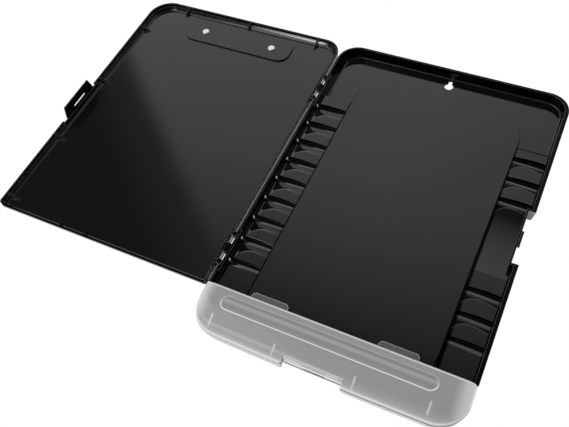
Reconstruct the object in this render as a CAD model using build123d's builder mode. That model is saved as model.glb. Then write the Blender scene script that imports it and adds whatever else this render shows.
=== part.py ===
"""Storage clipboard: a flat form case with a clipboard lid and a pencil compartment.

Millimetres, +Z up. The case lies open as on a desk: the tray on the right, the lid turned
half a turn to the left. X runs across the tray, Y along it, away from the compartment.
The origin is the middle of the case's resting face.
"""
import os

from build123d import *

# Case
case_w = 241.0
case_l = 355.0
case_h = 14.0
floor_t = 2.2
far_corner_r = 22.0
side_draft = 2.5
far_draft = 1.0
left_rim_x = -118.6
left_foot_x = -113.6
right_rim_x = 116.8
right_foot_x = 114.9
far_rim_y = 175.5
far_foot_y = 174.3
half_w = case_w / 2
far_y = case_l / 2
near_y = -case_l / 2

# Seam between the black tray and the pencil compartment
seam_y = near_y + 43.0
partition_t = 2.0
partition_z = case_h - 2.2
tray_near_y = seam_y + partition_t

# Raised floor and the side strips
plateau_left = -84.8
plateau_right = 85.8
plateau_far = 142.0
plateau_r = 30.0
plateau_z = 7.9
pad_z = 7.2
pad_far = 106.0
groove_pitch = 24.4
groove_first = 90.6
groove_deep = 3.1
groove_shallow = 2.5
groove_run = 7.2
groove_bow = 1.2
groove_corner = 6.0
left_grooves = 9
right_groove_slots = (0, 1, 2, 6, 7, 8)
scoop_far = 36.0
scoop_near = -35.0
scoop_drop = 3.0
strip_under_z = 2.0
under_rib_t = 1.6
under_rib_z = 0.5
under_rib_x = (-42.0, 0.0, 42.0)
under_rib_y = (-66.0, 0.0, 66.0)
foot_r = 1.8
rest_pad_r = 12.0

# Keyhole for a wall hook
key_y = 164.2
key_r = 4.6
key_neck_w = 4.0
key_neck_l = 6.6

# Hinge between the case and the lid
axis_x = -half_w - 1.0
axis_z = case_h + 0.15
hinge_groups = (-98.1, 107.9)
pin_r = 1.0
pin_run = 0.08
pin_half = 17.0
barrel_r = 2.4
barrel_gap = 0.35
lid_barrel_half = 5.2
case_barrel_in = 12.8
case_barrel_out = 17.4
hinge_cut_half = 20.4

# Lid, lying open: its rim faces up
lid_rim_gap = 0.15
lid_h = 8.5
lid_reach = 238.0
lid_side_gap = 1.0
lid_panel_t = 2.0
lid_near_y = seam_y - 1.2
lid_far_y = far_y - 1.0
lid_edge_r = 2.4
lid_near_r = 4.0
lid_free_corner_r = 25.0
lid_hinge_corner_r = 19.0
lid_rim_z = axis_z - lid_rim_gap
lid_out_z = lid_rim_z - lid_h
lid_in_z = lid_out_z + lid_panel_t
lid_step_z = 10.6
lid_near_wall_z = 10.2
lid_right_x = axis_x - lid_side_gap
lid_left_x = axis_x - lid_reach
lid_notch_a = 4.6
gusset_t = 1.8
gusset_l = 10.0
gusset_h = 5.2
far_gussets = (31.0, 115.6, 197.0)
side_gusset_y = (130.1, 42.9, -41.8, -122.4)
near_gussets = (137.0, 166.5)

# Lid latch
recess_far = 35.0
recess_near = -21.1
recess_x = 114.2
recess_wall_t = 1.8
lid_recess_far = 32.5
lid_recess_near = -25.5
lid_recess_a = recess_x - axis_x - 0.1
flap_axis_a = lid_recess_a + 1.0
flap_axis_z = lid_rim_z - 0.9
flap_mid_y = 4.4
flap_w = 49.0
flap_outer_w = 42.4
flap_l = 13.4
flap_t = 1.2
flap_bead_r = 0.72
flap_fit = 0.08
nub_mid_y = 5.4
nub_l = 17.0
nub_out = 2.0
nub_h = 1.6
nub_z = case_h - 2.4
slot_l = 19.6
slot_w = 2.6
slot_at = 3.5

# Pencil compartment
comp_corner_r = 28.0
comp_bow = 1.5
comp_draft = 2.5 / 14.0
skirt_t = 1.5
skirt_z = 5.0
band_z = skirt_z - 0.5
comp_floor_t = 1.8
comp_wall_in = 3.5
comp_wall_t = 1.5
comp_wall_z = 11.6
comp_rear_t = 1.8
comp_rear_z = 17.0
comp_rear_half = 114.0
dome_z = case_h + 8.0
dome_edge_z = 12.6
dome_t = 1.6
dome_steps = (
    (0.0, 0.0, 0.0),
    (0.9, 0.1, 0.35),
    (1.7, 0.25, 1.0),
    (2.4, 0.4, 2.0),
    (3.1, 0.55, 3.6),
    (4.4, 0.9, 7.2),
    (5.7, 1.4, 11.0),
    (6.9, 2.1, 14.6),
    (7.9, 3.1, 17.6),
    (8.6, 4.2, 19.8),
    (9.1, 5.6, 21.6),
    (9.4, 7.6, 23.4),
)
cover_rear_y = seam_y - 2.0
cover_rear_chamfer = 0.9
cover_rear_trim = 9.0
cover_groove_depth = 1.0
cover_groove_tilt = 4.0
cover_groove_x = -2.5
cover_groove_y = -148.8
cover_groove_l = 190.0
cover_groove_w = 12.5
cover_ribs = (-99.3, -39.0, 31.5, 91.7)
cover_rib_t = 1.2
tongue_w = 34.6
tongue_mids = (-61.4, 54.4)
tongue_far = tray_near_y + 4.7
tongue_t = 1.5
cover_axis_y = seam_y - 7.5
cover_axis_z = case_h + 4.7
lug_r = 1.6
lug_w = 26.0
ear_gap = 0.3
ear_t = 2.0
ear_r = 1.7
stud_r = 0.92
stud_hole_r = 1.0
stud_l = 1.6
notch_left = -30.5
notch_right = 23.0
cover_notch_y = near_y + 6.7
tray_notch_y = near_y + 6.8

# Cover latch
cover_flap_w = 52.4
cover_flap_l = 12.2
cover_flap_t = 1.2
cover_flap_y = cover_notch_y - 0.95
cover_flap_z = 14.8
cover_flap_mid_x = (notch_left + notch_right) / 2
cover_slot_x = -2.4
cover_slot_at = 8.3
cover_slot_w = 2.5
cover_nub_h = 1.4

# Clip on the lid's outer face, under the open lid
clip_x = axis_x - 118.4
clip_y = 149.0
rivet_span = 84.0
rivet_r = 2.1
rivet_head_r = 4.0
rivet_head_t = 1.2
pocket_depth = 1.5
pocket_l = 128.0
pocket_w = 31.0
pocket_r = 11.0
pocket_mid_y = 150.3
pocket_z = lid_out_z + pocket_depth
clip_plate_t = 0.8
clip_plate_l = 112.0
clip_plate_w = 25.0
rod_r = 1.0
rod_fit = 0.06
rod_y = 153.0
rod_z = pocket_z - 3.4
rod_half = 39.0
plate_ear_x = 35.6
jaw_ear_x = 36.8
ear_plate_t = 0.8
ear_plate_r = 1.9
jaw_ear_r = 2.0
jaw_w = 100.0
jaw_t = 0.8
spring_wire_r = 0.4
spring_mean_r = 1.55
spring_turns = 5
spring_x = 14.0

os.makedirs("parts", exist_ok=True)


def comp_face(z, inset, rear):
    """Outline of the pencil compartment: big near corners and a bowed near edge."""
    x = half_w - inset
    y = near_y + inset
    with BuildSketch(Plane.XY.offset(z)) as outline:
        with BuildLine():
            Line((x, y), (x, rear))
            Line((x, rear), (-x, rear))
            Line((-x, rear), (-x, y))
            ThreePointArc((-x, y), (0, y - comp_bow), (x, y))
        face = make_face()
        fillet(face.vertices().group_by(Axis.Y)[0], comp_corner_r - inset)
    return outline.sketch


def ring_prism(axis_name, at, radius, low, high):
    """Round bar along X or Y between two positions, centred on a line."""
    length = high - low
    middle = (low + high) / 2
    if axis_name == "y":
        where = Pos(at[0], middle, at[1]) * Rot(90, 0, 0)
    else:
        where = Pos(middle, at[0], at[1]) * Rot(0, 90, 0)
    return where * Cylinder(radius, length, mode=Mode.PRIVATE)


def block(x0, x1, y0, y1, z0, z1):
    """Box between two corners."""
    size = (x1 - x0, y1 - y0, z1 - z0)
    middle = ((x0 + x1) / 2, (y0 + y1) / 2, (z0 + z1) / 2)
    return Pos(*middle) * Box(*size, mode=Mode.PRIVATE)


def tapered_tray(low, high):
    """Solid between two rectangles: (z, left, right, near, far, corner radii from near left round)."""
    with BuildPart() as tray:
        for z, left, right, near, far, radii in (low, high):
            with BuildSketch(Plane.XY.offset(z)) as outline:
                with BuildLine():
                    Polyline((left, near), (right, near), (right, far), (left, far), close=True)
                make_face()
                corners = ((left, near), (right, near), (right, far), (left, far))
                for (x, y), radius in zip(corners, radii):
                    if radius > 0:
                        fillet(outline.vertices().sort_by_distance((x, y, 0))[0], radius)
        loft(ruled=True)
    return tray.part


def groove_cutter(wall_x, inner_x, far_y, corner):
    """Cross groove: a bowed steep face at its far end, its floor rising towards the near end."""
    toward = 1 if inner_x > wall_x else -1
    near_y_here = far_y - groove_run - 2
    with BuildPart() as cutter:
        with BuildSketch(Plane.XY.offset(pad_z - groove_deep - 1)):
            with BuildLine():
                ThreePointArc(
                    (wall_x, far_y),
                    ((wall_x + inner_x) / 2, far_y + groove_bow),
                    (inner_x, far_y),
                )
                Polyline((inner_x, far_y), (inner_x, near_y_here), (wall_x, near_y_here), (wall_x, far_y))
            make_face()
        extrude(amount=groove_deep + 3)
    low = Vector(wall_x, far_y, pad_z - groove_deep)
    along = Vector(inner_x, far_y, pad_z - groove_shallow) - low
    rising = Vector(wall_x, far_y - groove_run, pad_z) - low
    up = along.cross(rising)
    floor = Plane(origin=low, x_dir=along, z_dir=up if up.Z > 0 else -up)
    wedge = split(cutter.part, bisect_by=floor, keep=Keep.TOP, mode=Mode.PRIVATE)
    if corner:
        foot_x = wall_x + toward * 4.5
        with BuildPart() as pocket:
            with BuildSketch(Plane.XY.offset(pad_z - groove_deep - 0.4)):
                with BuildLine():
                    Polyline(
                        (wall_x, far_y - 3.0),
                        (foot_x, far_y - 3.0),
                        (foot_x + toward * groove_corner, far_y - groove_run + 0.6),
                        (foot_x, far_y - groove_run - 0.6),
                        (foot_x - toward * 0.6, far_y - groove_run - 1.8),
                        (wall_x, far_y - groove_run - 1.8),
                        close=True,
                    )
                make_face()
            extrude(amount=groove_deep + 2)
        wedge += pocket.part
    return wedge


def scoop_cutter(left, right):
    """Wide shallow finger scoop along the right strip."""
    middle = (scoop_far + scoop_near) / 2
    half = (scoop_far - scoop_near) / 2
    radius = (half * half + scoop_drop * scoop_drop) / (2 * scoop_drop)
    drum = ring_prism("x", (middle, pad_z - scoop_drop + radius), radius, left, right)
    return drum & block(left, right, scoop_near - 1, scoop_far + 1, 0, pad_z + 2)


def case_radii(change):
    """Square near corners and rounded far corners."""
    return (0, 0, far_corner_r + change, far_corner_r + change)


def lid_radii(change):
    """Small near corners, a big far corner on the free side, a smaller one at the hinge."""
    return (
        max(lid_near_r + change, 2.4),
        max(lid_near_r + change, 2.4),
        lid_hinge_corner_r + change,
        lid_free_corner_r + change,
    )


# Black tray of the case
shell_low = (0, side_draft - half_w, half_w - side_draft, seam_y, far_y - far_draft, case_radii(-1))
shell_high = (case_h, -half_w, half_w, seam_y, far_y, case_radii(0))
hollow_low = (floor_t, left_foot_x, right_foot_x, tray_near_y, far_foot_y, case_radii(-4.5))
hollow_high = (case_h + 0.01, left_rim_x, right_rim_x, tray_near_y, far_rim_y, case_radii(-2))
case_hollow = tapered_tray(hollow_low, hollow_high)
foot_edges = case_hollow.edges().group_by(Axis.Z)[0]
case_hollow = fillet([edge for edge in foot_edges if edge.center().Y > tray_near_y + 1], foot_r)
with BuildPart() as base_tray:
    add(tapered_tray(shell_low, shell_high))
    under_edges = base_tray.edges().group_by(Axis.Z)[0]
    fillet([edge for edge in under_edges if edge.center().Y > seam_y + 1], 1.6)
    add(case_hollow, mode=Mode.SUBTRACT)
    # Wall between tray and compartment is lower than the rim
    add(
        block(left_rim_x, right_rim_x, seam_y - 1, tray_near_y + 0.2, partition_z, case_h + 1),
        mode=Mode.SUBTRACT,
    )

    # Raised floor with drafted edge
    with BuildSketch(Plane.XY.offset(floor_t - 0.5)):
        with BuildLine():
            Polyline(
                (plateau_left, tray_near_y),
                (plateau_right - 3.0, tray_near_y),
                (plateau_right, tray_near_y + 25.0),
                (plateau_right, plateau_far),
                (plateau_left, plateau_far),
                close=True,
            )
        plateau_face = make_face()
        fillet(plateau_face.vertices().group_by(Axis.Y)[-1], plateau_r)
    extrude(amount=plateau_z - floor_t + 0.5, taper=3)

    # Side strips with their cross grooves
    strip_low = floor_t - 0.5
    left_strip = block(left_foot_x - 1.2, plateau_left + 1.0, tray_near_y, pad_far, strip_low, pad_z)
    right_strip = block(plateau_right - 1.0, right_foot_x + 0.4, tray_near_y, pad_far, strip_low, pad_z)
    for slot in range(left_grooves):
        far_end = groove_first - slot * groove_pitch + 2.3
        left_strip -= groove_cutter(-half_w, plateau_left + 1, far_end, True)
    for slot in right_groove_slots:
        far_end = groove_first - slot * groove_pitch + 3.3
        right_strip -= groove_cutter(half_w, plateau_right - 1, far_end, False)
    right_strip -= scoop_cutter(plateau_right, half_w)
    add(left_strip)
    add(right_strip)

    # Latch recess in the right wall and its catch
    add(block(
        recess_x - recess_wall_t,
        half_w - side_draft - 0.3,
        recess_near - recess_wall_t,
        recess_far + recess_wall_t,
        0.4,
        case_h,
    ))
    add(block(recess_x, half_w + 1, recess_near, recess_far, -1, case_h + 1), mode=Mode.SUBTRACT)
    with BuildSketch(Plane.XZ.offset(-(nub_mid_y + nub_l / 2))):
        with BuildLine():
            Polyline(
                (recess_x - 0.2, nub_z + nub_h / 2),
                (recess_x + 0.5, nub_z + nub_h / 2),
                (recess_x + nub_out, nub_z - nub_h / 2 + 0.5),
                (recess_x + nub_out, nub_z - nub_h / 2),
                (recess_x - 0.2, nub_z - nub_h / 2),
                close=True,
            )
        make_face()
    extrude(amount=nub_l)

    # Hinge bosses, clearance for the lid's knuckles, then the case's knuckles
    for middle in hinge_groups:
        add(block(-119.8, -116.6, middle - 22, middle + 22, 4.0, case_h))
        low = middle - case_barrel_in
        high = middle + case_barrel_in
        add(ring_prism("y", (axis_x, axis_z), barrel_r + barrel_gap, low, high), mode=Mode.SUBTRACT)
        for side in (-1, 1):
            near = middle + side * case_barrel_in
            far = middle + side * case_barrel_out
            low = min(near, far)
            high = max(near, far)
            add(ring_prism("y", (axis_x, axis_z), barrel_r, low, high))
            add(block(axis_x, -118.4, low, high, axis_z - barrel_r, case_h))
            add(ring_prism("y", (axis_x, axis_z), pin_r, low, high), mode=Mode.SUBTRACT)

    # Keyhole for hanging the case on a wall hook
    with BuildSketch(Plane.XY.offset(-1)):
        with Locations((0, key_y)):
            Circle(key_r)
        with Locations((0, key_y + key_neck_l / 2)):
            Rectangle(key_neck_w, key_neck_l)
        with Locations((0, key_y + key_neck_l)):
            Circle(key_neck_w / 2)
    extrude(amount=floor_t + 2, mode=Mode.SUBTRACT)

    # Underside follows the raised floor and strips, with ribs and a rest pad under the floor
    for left, right in (
        (left_foot_x + 1.0, plateau_left - 1.2),
        (plateau_right + 1.2, recess_x - recess_wall_t - 1.5),
    ):
        add(block(left, right, tray_near_y + 2, pad_far - 2.0, -1, strip_under_z), mode=Mode.SUBTRACT)
    with BuildSketch(Plane.XY.offset(-1)):
        with Locations(((plateau_left + plateau_right) / 2, (tray_near_y + plateau_far) / 2)):
            RectangleRounded(plateau_right - plateau_left - 5.5, plateau_far - tray_near_y - 6.0, 24.0)
    extrude(amount=plateau_z - floor_t + 1, mode=Mode.SUBTRACT)
    under_top = plateau_z - floor_t + 0.3
    for x in under_rib_x:
        half_t = under_rib_t / 2
        add(block(x - half_t, x + half_t, tray_near_y + 2.5, plateau_far - 2.5, under_rib_z, under_top))
    for y in under_rib_y:
        half_t = under_rib_t / 2
        low = plateau_left + 2.5
        high = plateau_right - 2.5
        add(block(low, high, y - half_t, y + half_t, under_rib_z, under_top))
    with Locations((0, 0, under_top / 2)):
        Cylinder(rest_pad_r, under_top)
base_tray.part.label = "base_tray"


# Hinge pins, held in the case's knuckles
for name, middle in zip(("near", "far"), hinge_groups):
    with BuildPart() as pin:
        add(ring_prism("y", (axis_x, axis_z), pin_r, middle - pin_half, middle + pin_half))
        chamfer(pin.edges().filter_by(GeomType.CIRCLE), 0.25)
    pin.part.label = "hinge_pin_" + name
    export_step(pin.part, "parts/hinge_pin_" + name + ".step")

# Lid, rim up
lid_low = (lid_out_z, lid_left_x + 0.4, lid_right_x - 0.2, lid_near_y, lid_far_y - 0.4, lid_radii(-0.4))
lid_high = (lid_rim_z, lid_left_x, lid_right_x, lid_near_y, lid_far_y, lid_radii(0))
lid_shell = tapered_tray(lid_low, lid_high)
lid_shell = fillet(lid_shell.edges().group_by(Axis.Z)[0], lid_edge_r)


def lid_outline(z, left_in, right_in, near_in, far_in, radii_change):
    """Outline inside the lid's rim, given how far each side stands in."""
    left = lid_left_x + left_in
    right = lid_right_x - right_in
    return (z, left, right, lid_near_y + near_in, lid_far_y - far_in, lid_radii(-radii_change))


upper_hollow = tapered_tray(
    lid_outline(lid_step_z, 2.0, 2.0, 1.8, 2.0, 2.0),
    lid_outline(lid_rim_z + 0.01, 1.7, 1.7, 1.8, 1.7, 1.7),
)
lower_hollow = tapered_tray(
    lid_outline(lid_in_z, 6.2, 5.4, 3.0, 6.2, 6.0),
    lid_outline(lid_step_z + 0.01, 3.4, 3.2, 2.0, 3.4, 3.4),
)
lower_hollow = fillet(lower_hollow.edges().group_by(Axis.Z)[0], 1.6)
lid_wall_a_x = axis_x - lid_recess_a
flap_x = axis_x - flap_axis_a
with BuildPart() as lid_panel:
    add(lid_shell)
    add(upper_hollow, mode=Mode.SUBTRACT)
    add(lower_hollow, mode=Mode.SUBTRACT)
    left = lid_left_x + 1.7
    right = lid_right_x - 1.7
    add(
        block(left, right, lid_near_y - 1, lid_near_y + 3, lid_near_wall_z, lid_rim_z + 1),
        mode=Mode.SUBTRACT,
    )
    # Raised pad under the clip, and its pocket on the outer face
    with BuildSketch(Plane.XY.offset(lid_in_z - 0.5)):
        with Locations((clip_x, pocket_mid_y)):
            RectangleRounded(pocket_l + 3.0, pocket_w + 2.6, pocket_r + 1.5)
    extrude(amount=pocket_depth + 0.5, taper=8)
    with BuildSketch(Plane.XY.offset(lid_out_z - 1)):
        with Locations((clip_x, pocket_mid_y)):
            RectangleRounded(pocket_l, pocket_w, pocket_r)
    extrude(amount=pocket_depth + 1, mode=Mode.SUBTRACT)
    with Locations((clip_x, clip_y, lid_in_z)):
        with GridLocations(rivet_span, 1, 2, 1):
            Cylinder(rivet_r, 8, mode=Mode.SUBTRACT)

    # Gussets between the walls and the panel
    for reach in far_gussets:
        with BuildSketch(Plane.YZ.offset(axis_x - reach - gusset_t / 2)):
            with BuildLine():
                Polyline(
                    (lid_far_y - 1.2, lid_in_z - 0.5),
                    (lid_far_y - 1.2, lid_in_z + gusset_h),
                    (lid_far_y - 3.6, lid_in_z + gusset_h),
                    (lid_far_y - 4.5 - gusset_l, lid_in_z - 0.5),
                    close=True,
                )
            make_face()
        extrude(amount=gusset_t)
    for y in side_gusset_y:
        with BuildSketch(Plane.XZ.offset(-(y + gusset_t / 2))):
            with BuildLine():
                Polyline(
                    (lid_left_x + 1.2, lid_in_z - 0.5),
                    (lid_left_x + 1.2, lid_in_z + gusset_h),
                    (lid_left_x + 3.6, lid_in_z + gusset_h),
                    (lid_left_x + 4.5 + gusset_l, lid_in_z - 0.5),
                    close=True,
                )
            make_face()
        extrude(amount=gusset_t)
    for reach in near_gussets:
        add(block(
            axis_x - reach - gusset_t / 2,
            axis_x - reach + gusset_t / 2,
            lid_near_y + 1.2,
            lid_near_y + 7.0,
            lid_in_z - 0.5,
            lid_in_z + 1.5,
        ))

    # Latch recess in the free wall
    add(block(
        lid_left_x + 0.5,
        lid_wall_a_x + recess_wall_t,
        lid_recess_near - recess_wall_t,
        lid_recess_far + recess_wall_t,
        lid_out_z + 0.8,
        lid_rim_z,
    ))
    add(
        block(lid_left_x - 1, lid_wall_a_x, lid_recess_near, lid_recess_far, lid_out_z - 1, lid_rim_z + 1),
        mode=Mode.SUBTRACT,
    )
    with BuildSketch(Plane.XZ.offset(-(flap_mid_y + flap_w / 2))):
        with BuildLine():
            Polyline(
                (lid_wall_a_x + 0.4, flap_axis_z),
                (flap_x, flap_axis_z),
                (flap_x, flap_axis_z - 1.2),
                (lid_wall_a_x, flap_axis_z - 2.4),
                (lid_wall_a_x + 0.4, flap_axis_z - 2.4),
                close=True,
            )
        make_face()
    extrude(amount=flap_w)
    add(
        ring_prism(
            "y",
            (flap_x, flap_axis_z),
            flap_bead_r + flap_fit,
            flap_mid_y - flap_w / 2 - 1,
            flap_mid_y + flap_w / 2 + 1,
        ),
        mode=Mode.SUBTRACT,
    )

    # Hinge side: bosses with room for the case's knuckles, and the lid's own knuckles
    for middle in hinge_groups:
        boss_x = axis_x - lid_notch_a
        add(block(boss_x, lid_right_x - 0.6, middle - 22, middle + 22, lid_out_z + 1.2, lid_rim_z))
        for low, high in ((-hinge_cut_half, -lid_barrel_half), (lid_barrel_half, hinge_cut_half)):
            add(
                ring_prism("y", (axis_x, axis_z), barrel_r + barrel_gap, middle + low, middle + high),
                mode=Mode.SUBTRACT,
            )
        low = middle - lid_barrel_half
        high = middle + lid_barrel_half
        add(ring_prism("y", (axis_x, axis_z), barrel_r, low, high))
        add(block(axis_x - lid_notch_a + 1, axis_x, low, high, axis_z - barrel_r, lid_rim_z))
        add(ring_prism("y", (axis_x, axis_z), pin_r + pin_run, low, high), mode=Mode.SUBTRACT)
lid_panel.part.label = "lid_panel"

# Lid latch: a slotted flap on a thin bead, standing at rest
with BuildPart() as lid_latch_tab:
    with BuildSketch(Plane.YZ.offset(flap_x - flap_t / 2)):
        with BuildLine():
            Polyline(
                (flap_mid_y - flap_w / 2, flap_axis_z),
                (flap_mid_y + flap_w / 2, flap_axis_z),
                (flap_mid_y + flap_outer_w / 2, flap_axis_z + flap_l),
                (flap_mid_y - flap_outer_w / 2, flap_axis_z + flap_l),
                close=True,
            )
        flap_face = make_face()
        end_corners = flap_face.vertices().group_by(Axis.Y)
        fillet(end_corners[0] + end_corners[-1], 0.5)
        fillet(flap_face.vertices().group_by(Axis.Z)[-1], 2.6)
        with Locations((nub_mid_y, flap_axis_z + slot_at)):
            RectangleRounded(slot_l, slot_w, 0.6, mode=Mode.SUBTRACT)
    extrude(amount=flap_t)
    low = flap_mid_y - flap_w / 2 + 0.4
    high = flap_mid_y + flap_w / 2 - 0.4
    add(ring_prism("y", (flap_x, flap_axis_z), flap_bead_r, low, high))
lid_latch_tab.part.label = "lid_latch_tab"

# Pencil compartment's lower tray, fixed to the black tray by two hooked tongues
rear_y = seam_y


def inset_at(z):
    """How far the drafted compartment wall stands inside its rim outline at a height."""
    return (case_h - z) * comp_draft


with BuildPart() as compartment_tray:
    loft([comp_face(0, inset_at(0), rear_y), comp_face(band_z, inset_at(band_z), rear_y)], ruled=True)
    under_edges = compartment_tray.edges().group_by(Axis.Z)[0]
    fillet([edge for edge in under_edges if edge.center().Y < rear_y - 1], 1.2)
    extrude(comp_face(band_z - 1, comp_wall_in, rear_y), amount=comp_wall_z - band_z + 1)
    extrude(
        comp_face(comp_floor_t, comp_wall_in + comp_wall_t, rear_y - comp_rear_t),
        amount=comp_wall_z,
        mode=Mode.SUBTRACT,
    )
    # Rear wall stands up behind the open back of the cover
    add(block(-comp_rear_half, comp_rear_half, rear_y - 1.4, rear_y, comp_wall_z - 1, comp_rear_z))
    # Latch recess in the near wall, with its catch
    add(block(
        notch_left - 2.3,
        notch_right + 2.3,
        near_y + comp_wall_in + 0.3,
        tray_notch_y + comp_wall_t,
        0.5,
        comp_wall_z,
    ))
    add(
        block(notch_left - 0.8, notch_right + 0.8, near_y - 3, tray_notch_y, -1, case_h + 1),
        mode=Mode.SUBTRACT,
    )
    nub_mid_z = cover_flap_z - cover_slot_at
    with BuildSketch(Plane.YZ.offset(cover_slot_x - nub_l / 2)):
        with BuildLine():
            Polyline(
                (tray_notch_y + 0.2, nub_mid_z + cover_nub_h / 2),
                (tray_notch_y - 0.6, nub_mid_z + cover_nub_h / 2),
                (tray_notch_y - nub_out, nub_mid_z - cover_nub_h / 2 + 0.4),
                (tray_notch_y - nub_out, nub_mid_z - cover_nub_h / 2),
                (tray_notch_y + 0.2, nub_mid_z - cover_nub_h / 2),
                close=True,
            )
        make_face()
    extrude(amount=nub_l)
    # Tongues with hinge lugs
    for middle in tongue_mids:
        with BuildSketch(Plane.XY.offset(partition_z)):
            with BuildLine():
                Polyline(
                    (middle - tongue_w / 2, rear_y - comp_rear_t),
                    (middle + tongue_w / 2, rear_y - comp_rear_t),
                    (middle + tongue_w / 2, tongue_far),
                    (middle - tongue_w / 2, tongue_far),
                    close=True,
                )
            tongue_face = make_face()
            fillet(tongue_face.vertices().group_by(Axis.Y)[-1], 4.0)
        extrude(amount=tongue_t)
        add(block(
            middle - tongue_w / 2 + 5,
            middle + tongue_w / 2 - 5,
            tray_near_y,
            tray_near_y + 1.1,
            partition_z - 1.4,
            partition_z + 0.2,
        ))
        low = middle - lug_w / 2
        high = middle + lug_w / 2
        add(ring_prism("x", (cover_axis_y, cover_axis_z), lug_r, low, high))
        add(block(low, high, cover_axis_y - lug_r, cover_axis_y + lug_r, partition_z - 2.4, cover_axis_z))
        add(block(low, high, cover_axis_y - lug_r, rear_y - 1, partition_z - 2.4, partition_z + 0.9))
        for side in (-1, 1):
            inner = middle + side * (lug_w / 2 - stud_l - 0.5)
            outer = middle + side * (lug_w / 2 + 1)
            left = min(inner, outer)
            right = max(inner, outer)
            hole = ring_prism("x", (cover_axis_y, cover_axis_z), stud_hole_r, left, right)
            add(hole, mode=Mode.SUBTRACT)
compartment_tray.part.label = "compartment_tray"


def dome(shrink, drop, rear):
    """Top of the cover: tight roll along its ends, a gentle slope up from its near edge."""
    faces = []
    for rise, side, near in dome_steps:
        x = half_w - inset_at(dome_edge_z) - shrink - side
        y = near_y + inset_at(dome_edge_z) + shrink + near
        with BuildSketch(Plane.XY.offset(dome_edge_z + rise - drop)) as outline:
            with BuildLine():
                Line((x, y), (x, rear))
                Line((x, rear), (-x, rear))
                Line((-x, rear), (-x, y))
                ThreePointArc((-x, y), (0, y - comp_bow), (x, y))
            face = make_face()
            corner_r = comp_corner_r - shrink - side / 2 - near / 2
            fillet(face.vertices().group_by(Axis.Y)[0], corner_r)
        faces.append(outline.sketch)
    return loft(faces, ruled=True)


# Hinged cover of the compartment
cover_outer = dome(0, 0, cover_rear_y)
cover_outer += loft(
    [
        comp_face(skirt_z, inset_at(skirt_z), cover_rear_y),
        comp_face(dome_edge_z, inset_at(dome_edge_z), cover_rear_y),
    ],
    ruled=True,
)
cover_inner = dome(skirt_t, dome_t, seam_y + 2)
cover_inner += loft(
    [
        comp_face(skirt_z - 1, inset_at(skirt_z - 1) + skirt_t, seam_y + 2),
        comp_face(dome_edge_z - dome_t, inset_at(dome_edge_z - dome_t) + skirt_t, seam_y + 2),
    ],
    ruled=True,
)
groove_slot = extrude(Sketch() + SlotOverall(cover_groove_l, cover_groove_w), amount=4)
groove_slot = Rot(cover_groove_tilt, 0, 0) * groove_slot
groove_drop = cover_groove_depth - cover_groove_w / 2 * 0.07
groove_slot = Pos(cover_groove_x, cover_groove_y, dome_z - groove_drop) * groove_slot
with BuildPart() as compartment_cover:
    add(cover_outer)
    add(cover_inner, mode=Mode.SUBTRACT)
    add(groove_slot, mode=Mode.SUBTRACT)
    for x in cover_ribs:
        low = x - cover_rib_t / 2
        high = x + cover_rib_t / 2
        add(block(low, high, near_y + 5.5, near_y + 15, 14.4, dome_z) & cover_outer)
    # Rear edge: chamfer on top, skirt cut up where it swings past the lower tray
    with BuildSketch(Plane.YZ.offset(-half_w)):
        with BuildLine():
            Polyline(
                (cover_rear_y + 0.1, dome_z - cover_rear_chamfer - 0.1),
                (cover_rear_y + 0.1, dome_z + 0.1),
                (cover_rear_y - cover_rear_chamfer - 0.1, dome_z + 0.1),
                close=True,
            )
        make_face()
    extrude(amount=case_w, mode=Mode.SUBTRACT)
    trim_y = cover_rear_y - cover_rear_trim
    add(block(-half_w, half_w, trim_y, seam_y, skirt_z - 1, skirt_z + 1.1), mode=Mode.SUBTRACT)
    for middle in tongue_mids:
        for side in (-1, 1):
            face_x = middle + side * (lug_w / 2 + ear_gap)
            back_x = face_x + side * ear_t
            tip_x = face_x - side * (stud_l + ear_gap)
            low = min(face_x, back_x)
            high = max(face_x, back_x)
            add(ring_prism("x", (cover_axis_y, cover_axis_z), ear_r, low, high))
            ear_top = dome_z - dome_t + 0.3
            add(block(low, high, cover_axis_y - ear_r, cover_axis_y + ear_r, cover_axis_z, ear_top))
            low = min(tip_x, face_x)
            high = max(tip_x, face_x)
            add(ring_prism("x", (cover_axis_y, cover_axis_z), stud_r, low, high))
    notch = block(notch_left, notch_right, near_y - 3, cover_notch_y, skirt_z - 1, dome_z + 1)
    add(notch, mode=Mode.SUBTRACT)
    bar = block(
        notch_left + 0.4,
        notch_right - 0.4,
        cover_flap_y,
        cover_notch_y + 1.4,
        cover_flap_z,
        cover_flap_z + 1.1,
    )
    add(bar)
    add(
        ring_prism(
            "x",
            (cover_flap_y, cover_flap_z),
            flap_bead_r + flap_fit,
            notch_left - 1,
            notch_right + 1,
        ),
        mode=Mode.SUBTRACT,
    )
compartment_cover.part.label = "compartment_cover"

# Cover latch: a slotted flap over the near wall's catch
with BuildPart() as cover_latch_tab:
    with BuildSketch(Plane.XZ.offset(-(cover_flap_y + cover_flap_t / 2))):
        with Locations((cover_flap_mid_x, cover_flap_z - cover_flap_l / 2)):
            Rectangle(cover_flap_w, cover_flap_l)
        with Locations((cover_slot_x, cover_flap_z - cover_slot_at)):
            RectangleRounded(slot_l - 0.4, cover_slot_w, 0.6, mode=Mode.SUBTRACT)
    extrude(amount=cover_flap_t)
    add(ring_prism(
        "x",
        (cover_flap_y, cover_flap_z),
        flap_bead_r,
        cover_flap_mid_x - cover_flap_w / 2 + 0.4,
        cover_flap_mid_x + cover_flap_w / 2 - 0.4,
    ))
    lower_corners = cover_latch_tab.edges().filter_by(Axis.Y).group_by(Axis.Z)[0]
    fillet(lower_corners, 3.0)
cover_latch_tab.part.label = "cover_latch_tab"

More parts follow.
